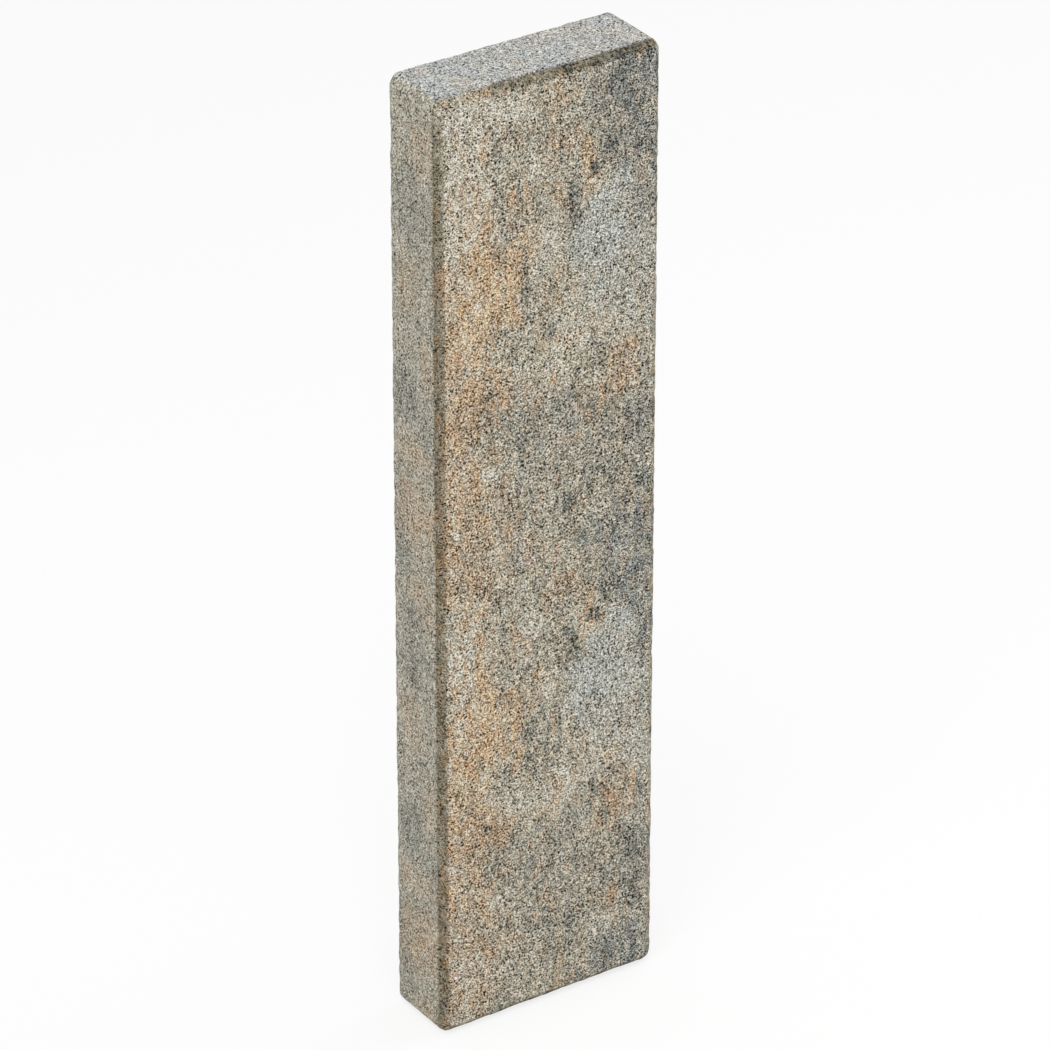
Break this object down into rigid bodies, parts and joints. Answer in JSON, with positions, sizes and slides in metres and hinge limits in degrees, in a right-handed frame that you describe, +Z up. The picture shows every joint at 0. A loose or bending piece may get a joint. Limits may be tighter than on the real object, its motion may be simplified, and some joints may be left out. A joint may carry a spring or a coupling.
{
  "type": "concrete palisade",
  "caption": "Upright cast concrete palisade slab with rounded corners and a bevel round its front face, set side by side with others to edge a bed or hold back a bank.",
  "frame": {"origin": "middle of the slab's footprint, on the level floor it stands on", "axes": "+Z up along the height, +X along the width, +Y through the thickness from the bevelled front face to the plain back"},
  "size_m": [0.25, 0.08, 1],
  "materials": {
    "concrete": "matte"
  },
  "bodies": {
    "root": {"palisade": "concrete"}
  },
  "joints": []
}
